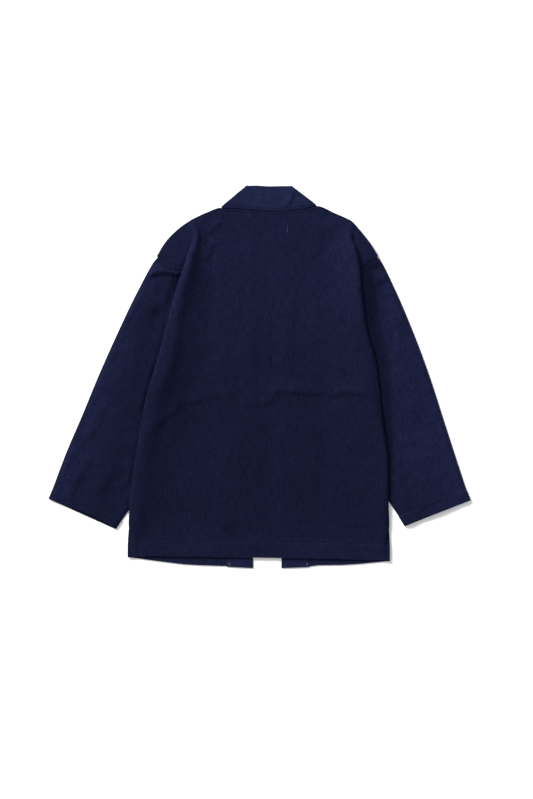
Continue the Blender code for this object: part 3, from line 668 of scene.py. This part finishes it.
# Beside the body's fold the sleeve comes up towards the fold's edge: y, how much of the way up, and
# how far from the fold it is down again
VALLEY_COLUMNS = ("y", "share", "reach")
LEFT_VALLEY = (
    (270, 0, 20), (215, 0.1, 24), (60, 0.12, 28), (-60, 0.1, 24), (-180, 0.05, 20), (-260, 0, 20),
)
RIGHT_VALLEY = (
    (262, 0, 20), (235, 0.8, 28), (190, 1.0, 33), (40, 1.0, 33), (-30, 1.0, 30), (-80, 1.0, 24),
    (-122, 0.9, 15), (-190, 0.8, 12), (-260, 0.2, 12),
)
VALLEY_UNDER, VALLEY_NEAR = 4.0, 5.0  # it starts this far under the fold, and is whole this much later
VALLEY_CLEAR = 0.7
VALLEY_FALL = 1.3  # above 1 the sleeve falls away steeply at first
# How far the sleeve stays below the back's edge at the seam, and comes up again just outside it
SEAM_CLEAR, SEAM_MORE = 0.7, 1.0
SEAM_LEVELS = 4  # of the back's levels, those beside the seam
SEAM_RAMP = 8.0
SLEEVE_WAVES = ((1.2, 48, 1.0), (0.5, 19, 1.0), (0.14, 8, 1.0))
RELIEF_FADE = 12.0
# Painted shade and painted light on each sleeve's colour: darker beside the body's fold, brighter towards
# the sleeve's outer fold. On the right sleeve a second step paints the fold's shadow in a strip beside it
LEFT_SLEEVE_PAINTED_LIGHT = (((1.0, 0.0), 0.255, 0.330, 0.80, 1.10),)
RIGHT_SLEEVE_PAINTED_LIGHT = (((1.0, 0.0), -0.340, -0.200, 1.14, 0.84), ((0.95, -0.30), -0.288, -0.244, 1.0, 0.74))
LEFT_SLEEVE_CREASES = (
    (-238, 216, -160, 216, 5, 5.76, 12, 5),
    (-188, 214, -202, 150, 0, 2.4, 7, 15),
    (-224, 192, -180, 204, 5, 1.6, 14, 7),
    (-268, 162, -222, 136, 5, 2.88, 14, 6),
    (-312, 96, -270, 140, -4, 1.44, 12, 6),
    (-290, 60, -230, 10, 6, 1.44, 18, 10),
    (-330, -20, -262, -80, 6, 1.28, 18, 10),
    (-404, -258, -348, -164, 6, 1.44, 16, 8),
    (-368, -130, -330, -60, -5, 1.28, 14, 9),
    (-300, -242, -272, -218, 3, 1.28, 10, 6),
    (-420, -226, -392, -150, 5, 1.12, 14, 8),
    (-350, -250, -310, -180, -6, 1.12, 14, 9),
)
RIGHT_SLEEVE_CREASES = (
    (236, 250, 262, 246, 3, 1.92, 10, 5),
    (248, 196, 278, 212, 4, 1.92, 12, 6),
    (262, 150, 306, 120, 4, 1.28, 16, 8),
    (280, 60, 336, 20, 6, 1.28, 18, 10),
    (290, -40, 370, -96, -6, 1.28, 18, 10),
    (300, -140, 380, -150, 6, 1.12, 16, 9),
    (330, -226, 400, -190, -5, 0.64, 14, 9),
    (372, -60, 396, -130, 5, 1.12, 14, 8),
    (296, -200, 312, -276, -4, 1.28, 12, 8),
)


def read_columns(table, names, at, value, level):
    """One named column of a table, read at a value of another, along straight lines."""
    return read_at(zip(column(table, names, at), column(table, names, value)), level)


def lay_sleeve(
    name, rings, front_side, back_side, valley, creases, inward, seed, painted_light_and_tone, under_shows, rounder
):
    """One sleeve: a flattened tube, doubled at the cuff, its armhole end inside the body."""
    at = numbers(RING_STEPS)
    value = {name: smooth(column(rings, RING_COLUMNS, name), at) for name in RING_COLUMNS}
    cuff = ease(at - (len(rings) - 1 - CUFF_RINGS))
    across = (1 - np.cos(np.linspace(0, np.pi, RING_POINTS))) / 2
    outer = np.stack([value["outer_x"], value["outer_y"]], axis=1)[:, None]
    inner = np.stack([value["inner_x"], value["inner_y"]], axis=1)[:, None]
    bow = np.stack([value["bow_x"], value["bow_y"]], axis=1)[:, None]
    plan = outer + (inner - outer) * across[:, None] + bow * bowed(across)[:, None]
    x, y = plan[..., 0], plan[..., 1]
    rim = (SLEEVE_EDGE + (CUFF_EDGE - SLEEVE_EDGE) * cuff)[:, None]
    width = np.linalg.norm(inner - outer, axis=2)
    round_reach = rim / 2 + rounder * ease((at - ROUNDER_FROM) / ROUNDER_OVER)[:, None] * (across > 0.5)
    fold = np.clip(width * np.minimum(across, 1 - across) / round_reach, 0, 1)
    rounding = np.sqrt(1 - (1 - fold) ** 2)
    clear = ease((read_at(front_side, y) - x) * inward / SWELL_FROM)
    beside = (read_columns(back_side, SIDE_COLUMNS, "row_y", "edge_x", y) - x) * inward
    swell = np.maximum(value["swell"][:, None] - rim, 0) * np.sin(np.pi * across) ** 2 * clear
    swell = SWELL_MORE * swell * ease(beside / SWELL_REACH)
    armhole = [(side_x, side_y) for side_y, side_x in front_side if UNDERARM_Y <= side_y <= NOTCH_Y]
    on_front = ((x - read_at(front_side, y)) * inward > 0) & (y > UNDERARM_Y)
    outside = np.where(on_front, 0, distance_to(armhole, x, y))
    lift = SLEEVE_LIFT * ease(1 - (outside - LIFT_FROM) / (LIFT_TO - LIFT_FROM))
    middle = lift + rim / 2
    seam_levels = back_side[:SEAM_LEVELS]
    below_seam = read_columns(seam_levels, SIDE_COLUMNS, "seam_x", "seam_y", x) - y
    from_folds = np.minimum(across, 1 - across) * width
    showing = ease((beside - 2) / SHOWN_FROM) * ease((below_seam - 2) / SHOWN_FROM)
    showing = showing * ease(from_folds / RELIEF_FADE)
    relief = (creased(creases, x, y) + WAVES_UP + waves(SLEEVE_WAVES, x, y, seed)) * showing
    # The armhole's seam holds it up to the back's edge, and the body's fold lifts it beside the fold
    seam_x, seam_y = (column(seam_levels, SIDE_COLUMNS, name) for name in ("seam_x", "seam_y"))
    seam_line = [(side_x, side_y) for side_y, side_x in front_side if side_y == NOTCH_Y]
    seam_line += zip(seam_x, seam_y)
    seam_away = distance_to(seam_line, x, y)
    near_seam = np.exp(-((seam_away / ARMHOLE_REACH) ** 2)) * ease(from_folds / ARMHOLE_FADE)
    below = ease((below_seam - 1) / SEAM_RAMP)
    seam_z = read_columns(seam_levels, SIDE_COLUMNS, "seam_x", "under_z", x)
    up_to_seam = np.maximum(seam_z - THIN_EDGE / 2 - SEAM_CLEAR - middle - rim / 2, 0)
    up_to_seam = up_to_seam + SEAM_MORE * ease((below_seam - 0.5) / 2.5)
    at_seam = np.maximum(up_to_seam, ARMHOLE_RISE * below) * near_seam
    reach = read_columns(valley, VALLEY_COLUMNS, "y", "reach", y)
    hump = ease((beside + VALLEY_UNDER) / VALLEY_NEAR) * np.clip(1 - beside / reach, 0, 1) ** VALLEY_FALL
    fold_z = read_columns(back_side, SIDE_COLUMNS, "row_y", "edge_z", y)
    way_up = np.maximum(fold_z - CLOTH / 2 - VALLEY_CLEAR - middle - rim / 2, 0)
    at_fold = read_columns(valley, VALLEY_COLUMNS, "y", "share", y) * way_up * hump * below
    relief = relief + np.maximum(at_seam, at_fold)
    arm = (outer[-1, 0] + inner[-1, 0]) / 2 - (outer[0, 0] + inner[0, 0]) / 2
    arm = arm / np.linalg.norm(arm)
    back_by = under_shows * ease(at - (len(rings) - 2))[:, None] * np.sin(np.pi * across**2) ** 0.5
    top_z = middle + (rim / 2 + swell) * rounding + relief
    upper = np.stack([x - arm[0] * back_by, y - arm[1] * back_by, top_z], axis=2)
    lower = np.stack([x, y, middle - rim / 2 * rounding], axis=2)
    loops = np.concatenate([upper, lower[:, -2:0:-1]], axis=1)
    thickness = np.repeat((CLOTH + (DOUBLE_CLOTH - CLOTH) * cuff)[:, None], loops.shape[1], axis=1)
    # The yarns run along the sleeve, from the armhole to the cuff
    weft = loops[..., 0] * arm[1] - loops[..., 1] * arm[0]
    warp = loops[..., 0] * arm[0] + loops[..., 1] * arm[1]
    grain = np.stack([weft, warp], axis=2)[:, ::inward]
    # The sleeve's colour carries painted shade beside the body's fold and painted light towards its outer
    # fold
    cotton = indigo_cotton("indigo_cotton_" + name, INDIGO_DEEP, INDIGO_WORN, painted_light_and_tone)
    loops = loops[:, ::inward]
    sleeve = sew_cloth(name + "_cloth", name, loops, grain, thickness, cotton, offset=-1, closed=True)
    return sleeve


sleeve_left = lay_sleeve(
    "sleeve_left", LEFT_RINGS, LEFT_FRONT_SIDE, LEFT_SIDE, LEFT_VALLEY, LEFT_SLEEVE_CREASES, 1, 21,
    LEFT_SLEEVE_PAINTED_LIGHT, LEFT_CUFF_SHOWS, LEFT_ROUNDER,
)
sleeve_right = lay_sleeve(
    "sleeve_right", RIGHT_RINGS, RIGHT_FRONT_SIDE, RIGHT_SIDE, RIGHT_VALLEY, RIGHT_SLEEVE_CREASES, -1, 31,
    RIGHT_SLEEVE_PAINTED_LIGHT, RIGHT_CUFF_SHOWS, RIGHT_ROUNDER,
)

# The neck band: one long strip of the same cloth, folded double and sewn over the raw edges. It runs
# up one front, lies folded back behind the neck, and runs down the other front to the hem.
NECK_BAND_Z = 4.6
NECK_SEAM_RISE = 0.05
NECK_FREE_RISE = -0.55
BAND_CROWN = 2.0  # how far it rises beside its seam, for each unit its seam lies above its free edge
BAND_LENGTH_STEPS = 96
BAND_POINTS = 21
BAND_BEHIND_STEPS = 24
BAND_DEEP = (0.0046, 0.0058, 0.0210, 1.0)
BAND_WORN = (0.0132, 0.0162, 0.0500, 1.0)
# The band's colour is darker down the fronts than behind the neck
BAND_TONE_STEPS = (((0.0, 1.0), 0.40, 0.80, 0.88, 1.0), ((0.0, 1.0), 0.95, 1.35, 1.0, 0.88))
BAND_WAVES = ((0.25, 21, 1.0), (0.08, 8, 1.0))
BAND_EDGES = ((0.0, 1.1), (0.06, 1.6), (0.16, 2.0), (0.9, 2.0), (1.0, 1.5))  # thickness across the band
BAND_CREASES = (
    (69, 396, 62, 368, 2, 2.4, 4.5, 10),
    (63, 370, 50, 361, 2, 1.3, 4, 8),
    (-40, 398, -58, 372, -2, 0.5, 8, 6),
    (2, 398, -2, 366, 2, 0.4, 8, 6),
)

band_cotton = indigo_cotton("indigo_cotton_band", BAND_DEEP, BAND_WORN, BAND_TONE_STEPS)
band_floor = DOUBLE_CLOTH / 2
band_t = (np.linspace(0, 1, BAND_POINTS) ** 1.3)[:, None]
crown = ease(band_t / 0.16) * (1 - band_t)


def band_section(seam, free, z_seam, z_free):
    """Points across the band, from its seam to its free edge."""
    plan = seam + (np.array(free) - seam) * band_t
    height = z_seam + (z_free - z_seam) * band_t + (z_seam - z_free) * BAND_CROWN * crown
    return np.concatenate([plan, height], axis=1)


def band_length(end, fold):
    """The length on the table, from the hem up to the fold."""
    seam_end, free_end = np.array(end).reshape(2, 2)
    for s in np.arange(BAND_LENGTH_STEPS) / BAND_LENGTH_STEPS:
        seam, free = seam_end + (fold[0] - seam_end) * s, free_end + (fold[1] - free_end) * s
        yield band_section(seam, free, band_floor, band_floor)


def band_turn(fold, side):
    """The half turn where the band folds over at the neck, from below to above."""
    dx, dy = fold[1] - fold[0]
    outward = np.array([dy, -dx]) * side * np.sign(dy) / np.hypot(dx, dy)
    radius = (NECK_BAND_Z - band_floor) / 2
    for angle in np.radians(np.arange(-90, 91, 15)):
        plan = fold + outward * radius * np.cos(angle)
        turned = (1 + np.sin(angle)) / 2
        height = band_floor + 2 * radius * turned
        z_seam, z_free = height + NECK_SEAM_RISE * turned, height + NECK_FREE_RISE * turned
        yield band_section(plan[0], plan[1], z_seam, z_free)


fold_left = np.array([NECK_SEAM[0], NECK_FREE[0]])
fold_right = np.array([NECK_SEAM[-1], NECK_FREE[-1]])
up_left = list(band_length(LEFT_BAND_END, fold_left)) + list(band_turn(fold_left, -1))
up_right = list(band_length(RIGHT_BAND_END, fold_right)) + list(band_turn(fold_right, 1))
behind_at = numbers([BAND_BEHIND_STEPS] * (len(NECK_SEAM) - 1))[1:-1]
behind = [
    band_section(seam, free, NECK_BAND_Z + NECK_SEAM_RISE, NECK_BAND_Z + NECK_FREE_RISE)
    for seam, free in zip(smooth(NECK_SEAM, behind_at), smooth(NECK_FREE, behind_at))
]
sections = np.array(up_left + behind + up_right[::-1])
middle_line = sections.mean(axis=1)
run = np.concatenate([[0], np.cumsum(np.linalg.norm(np.diff(middle_line, axis=0), axis=1))])
band_width = np.linalg.norm(sections[:, -1] - sections[:, 0], axis=1)
band_run = np.repeat(run[:, None], BAND_POINTS, axis=1)
band_grain = np.stack([band_width[:, None] * band_t[:, 0], band_run], axis=2)
behind_neck = ease((sections[..., 2] - NECK_BAND_Z + 1.2) / 0.8)
x, y = sections[..., 0], sections[..., 1]
sections[..., 2] += (creased(BAND_CREASES, x, y) + waves(BAND_WAVES, x, y, 41)) * behind_neck
band_thickness = np.repeat(read_at(BAND_EDGES, band_t[:, 0])[None, :], len(sections), axis=0)
neck_band = sew_cloth("neck_band_cloth", "neck_band", sections, band_grain, band_thickness, band_cotton)

# The stitching: indigo thread in straight rows along the hem, the cuffs and the neck, with small
# bars where the band ends at the hem and where a label is sewn to the inside below the neck.
STITCH_PITCH = 3.2
STITCH_LENGTH = 2.3
THREAD = 0.55
STITCH_LIFT = 0.12
LINE_STEP = 2.0
UNEVEN = 0.12
CUFF_STITCH_UP, CUFF_STITCH_IN = 23.0, 6.0
HEM_SEWN = (-275, 271)
NECK_SEWN = (-66, 108)
THREAD_BLUE = (0.0125, 0.0150, 0.0440, 1.0)
DEEP_THREAD = (0.0040, 0.0048, 0.0170, 1.0)
PALE_THREAD = (0.032, 0.040, 0.112, 1.0)
TACK_THREAD = (0.17, 0.19, 0.27, 1.0)
LABEL_BARS = (((59.1, 305.5), (59.1, 319.0)), ((7.4, 306.0), (7.6, 314.0)))
SLUB = ((297.0, -131.0), (299.0, -131.4))
BAND_END_TACKS = (
    ((-68, -393), (-65, -397)), ((-66, -397), (-62, -396)), ((-64, -398), (-62, -401)),
    ((99, -393), (102, -396)), ((99, -398), (103, -397)), ((101, -400), (103, -403)),
)


def stitch_tree():
    """Stitches along a line: a short rounded length of thread at each step, turned along the line."""
    tree = bpy.data.node_groups.new("stitches", "GeometryNodeTree")
    inputs = (
        ("Line", "NodeSocketGeometry"), ("Pitch", "NodeSocketFloat"), ("Length", "NodeSocketFloat"),
        ("Thread", "NodeSocketFloat"), ("Uneven", "NodeSocketFloat"), ("Seed", "NodeSocketInt"),
        ("Finish", "NodeSocketMaterial"),
    )
    for label, kind in inputs:
        tree.interface.new_socket(label, in_out="INPUT", socket_type=kind)
    tree.interface.new_socket("Stitches", in_out="OUTPUT", socket_type="NodeSocketGeometry")
    start = Signal(tree)
    entry = tree.nodes.new("NodeGroupInput")
    given = {label: Signal(tree, entry.outputs[label]) for label, kind in inputs}
    along = {"Curve": given["Line"], "Length": given["Pitch"]}
    steps = start.node("GeometryNodeResampleCurve", {"mode": "LENGTH"}, along)
    tangent = start.node("GeometryNodeInputTangent", {}, {})
    turn = start.node("FunctionNodeAlignRotationToVector", {"axis": "X"}, {"Vector": tangent})
    bead = start.node("GeometryNodeMeshUVSphere", {}, {"Segments": 8, "Rings": 6, "Radius": 0.5})
    least_and_most = {2: 1.0 - given["Uneven"], 3: 1.0 + given["Uneven"], "Seed": given["Seed"]}
    chance = start.node("FunctionNodeRandomValue", {"data_type": "FLOAT"}, least_and_most, 1)
    sizes = {"X": chance * given["Length"], "Y": given["Thread"], "Z": given["Thread"]}
    size = start.node("ShaderNodeCombineXYZ", {}, sizes)
    parts = {"Points": steps, "Instance": bead, "Rotation": turn, "Scale": size}
    placed = start.node("GeometryNodeInstanceOnPoints", {}, parts)
    real = start.node("GeometryNodeRealizeInstances", {}, {"Geometry": placed})
    sewn = start.node("GeometryNodeSetMaterial", {}, {"Geometry": real, "Material": given["Finish"]})
    made = tree.nodes.new("NodeGroupOutput")
    tree.links.new(sewn.socket, made.inputs["Stitches"])
    return tree


def thread(name, colour):
    """Twisted cotton thread."""
    material = bpy.data.materials.new(name)
    material.use_nodes = True
    tree = material.node_tree
    shader = tree.nodes["Principled BSDF"]
    start = Signal(tree)
    place = start.node("ShaderNodeTexCoord", {}, {}, 3)
    twist = start.node("ShaderNodeTexNoise", {}, {"Vector": place, "Scale": 900.0, "Detail": 1.0})
    dark = tuple(0.6 * value for value in colour[:3]) + (1.0,)
    mixed = start.node("ShaderNodeMix", {"data_type": "RGBA"}, {0: twist, 6: dark, 7: colour}, 2)
    tree.links.new(mixed.socket, shader.inputs["Base Color"])
    bump = start.node("ShaderNodeBump", {}, {"Strength": 0.5, "Distance": 0.0002, "Height": twist})
    tree.links.new(bump.socket, shader.inputs["Normal"])
    shader.inputs["Roughness"].default_value = 0.75
    shader.inputs["Specular IOR Level"].default_value = 0.1
    return material


def drop_line(cloths, line, step):
    """Points along a line in plan, a step apart, laid on the cloths that show from above."""
    graph = bpy.context.evaluated_depsgraph_get()
    trees = [BVHTree.FromObject(cloth, graph) for cloth in cloths]
    line = np.array(line, float)
    run = np.concatenate([[0], np.cumsum(np.linalg.norm(np.diff(line, axis=0), axis=1))])
    at = np.linspace(0, run[-1], max(2, int(run[-1] / step) + 1))
    found = []
    for px, py in zip(np.interp(at, run, line[:, 0]), np.interp(at, run, line[:, 1])):
        hits = [cloth.ray_cast((px * MM, py * MM, 1.0), (0, 0, -1))[0] for cloth in trees]
        heights = [hit.z for hit in hits if hit is not None]
        if heights:
            found.append((px * MM, py * MM, max(heights) + STITCH_LIFT * MM))
    return found


stitches = stitch_tree()


def sew(name, lines, cloths, finish, seed, pitch=STITCH_PITCH, length=STITCH_LENGTH, width=THREAD):
    """One piece of stitching: its lines in plan, laid on the cloths, with a stitch at each pitch."""
    rows = bpy.data.curves.new(name, "CURVE")
    rows.dimensions = "3D"
    for line in lines:
        points = drop_line(cloths, line, LINE_STEP)
        spline = rows.splines.new("POLY")
        spline.points.add(len(points) - 1)
        for point, place in zip(spline.points, points):
            point.co = (*place, 1.0)
    guide = bpy.data.objects.new(name + "_guide", rows)
    scene.collection.objects.link(guide)
    sewing = guide.modifiers.new("stitches", "NODES")
    sewing.node_group = stitches
    values = {"Pitch": pitch * MM, "Length": length * MM, "Thread": width * MM}
    values.update({"Uneven": UNEVEN, "Seed": seed, "Finish": finish})
    for item in stitches.interface.items_tree:
        if item.in_out == "INPUT" and item.name in values:
            sewing[item.identifier] = values[item.name]
    graph = bpy.context.evaluated_depsgraph_get()
    mesh = bpy.data.meshes.new_from_object(guide.evaluated_get(graph), depsgraph=graph)
    mesh.shade_smooth()
    bpy.data.objects.remove(guide)
    piece = bpy.data.objects.new(name, mesh)
    scene.collection.objects.link(piece)
    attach(piece, "root")
    return piece


thread_blue = thread("indigo_thread", THREAD_BLUE)
pale_thread = thread("pale_indigo_thread", PALE_THREAD)
hem_x, hem_y = back_rows[-1, :, 0], back_rows[-1, :, 1]
shown_hem = np.linspace(*HEM_SEWN, 60)
hem_lines = [[(px, np.interp(px, hem_x, hem_y) + row) for px in shown_hem] for row in HEM_STITCH_ROWS]
sew("hem_stitches", hem_lines, [back], thread_blue, 51)
neck_line_x = np.linspace(*NECK_SEWN, 40)
seam_x_plan, seam_y_plan = smooth(NECK_SEAM, np.linspace(0, len(NECK_SEAM) - 1, 60)).T
neck_stitch_line = [(px, np.interp(px, seam_x_plan, seam_y_plan) - NECK_STITCH_DROP) for px in neck_line_x]
sew("neck_stitches", [neck_stitch_line], [back], thread("deep_indigo_thread", DEEP_THREAD), 52)
cuffs = (("left", LEFT_RINGS, sleeve_left, 53), ("right", RIGHT_RINGS, sleeve_right, 54))
for name, rings, cloth, seed in cuffs:
    outer, inner = np.array(rings[-1][:2], float), np.array(rings[-1][2:4], float)
    up_arm = np.array(rings[-3][:2], float) - outer + np.array(rings[-3][2:4], float) - inner
    up_arm = up_arm / np.linalg.norm(up_arm) * CUFF_STITCH_UP
    to_inner = (inner - outer) / np.linalg.norm(inner - outer) * CUFF_STITCH_IN
    cuff_line = [tuple(outer + up_arm + to_inner), tuple(inner + up_arm - to_inner)]
    sew("cuff_stitches_" + name, [cuff_line], [cloth], thread_blue, seed)
sew("label_stitches", LABEL_BARS[:1], [back], pale_thread, 55, pitch=1.0, length=1.5, width=1.3)
sew("label_stitches_worn", LABEL_BARS[1:], [back], pale_thread, 57, pitch=1.3, length=1.2, width=0.5)
sew("sleeve_slub", [SLUB], [sleeve_right], pale_thread, 58, pitch=1.0, length=1.8, width=1.1)
tack_thread = thread("pale_tack_thread", TACK_THREAD)
band_ends = [front_left, front_right, neck_band]
sew("band_end_tacks", BAND_END_TACKS, band_ends, tack_thread, 56, pitch=1.8, length=1.6, width=0.6)
